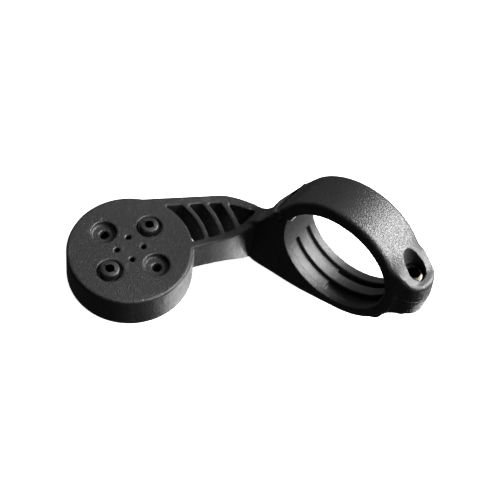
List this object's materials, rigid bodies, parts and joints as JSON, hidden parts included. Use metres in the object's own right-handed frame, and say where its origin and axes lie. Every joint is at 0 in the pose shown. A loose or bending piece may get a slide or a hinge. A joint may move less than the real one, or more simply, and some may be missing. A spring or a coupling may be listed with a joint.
{
  "type": "bicycle computer handlebar mount",
  "caption": "Out-front mount: a hinged bolt-up ring clamps a round handlebar and a ribbed arm carries a round quarter-turn seat for a cycling computer.",
  "frame": {"origin": "centre of the handlebar bore, halfway across the clamp's width", "axes": "+Y along the handlebar, -X ahead of the bike, +Z out of the screw side, which faces down in use"},
  "size_m": [0.0879, 0.0596, 0.044],
  "materials": {
    "body_nylon": "black glass-filled nylon, fine grain",
    "cap_nylon": "black glass-filled nylon, fine grain",
    "socket_nylon": "black nylon, satin",
    "pin_steel": "plain steel dowel",
    "bolt_steel": "bright steel",
    "insert_brass": "turned brass",
    "screw_steel": "grey steel"
  },
  "bodies": {
    "mount": {"mount_body": "body_nylon", "quarter_turn_socket": "socket_nylon", "hinge_pin": "pin_steel", "threaded_insert": "insert_brass"},
    "cap": {"clamp_cap": "cap_nylon"},
    "bolt": {"clamp_bolt": "bolt_steel"},
    "rear_screw": {"socket_screw_rear": "screw_steel"},
    "front_screw": {"socket_screw_front": "screw_steel"}
  },
  "joints": [
    {"name": "cap_hinge", "type": "hinge", "parent": "mount", "child": "cap", "pos_m": [-0.0183, 0, 0.0028], "axis": [0, -1, 0], "range_deg": [0, 58]},
    {"name": "bolt_unscrew", "type": "slide", "parent": "cap", "child": "bolt", "axis": [0, 0, 1], "range_m": [0, 0.012]},
    {"name": "rear_screw_unscrew", "type": "slide", "parent": "mount", "child": "rear_screw", "axis": [0, 0, 1], "range_m": [0, 0.008]},
    {"name": "front_screw_unscrew", "type": "slide", "parent": "mount", "child": "front_screw", "axis": [0, 0, 1], "range_m": [0, 0.008]}
  ]
}
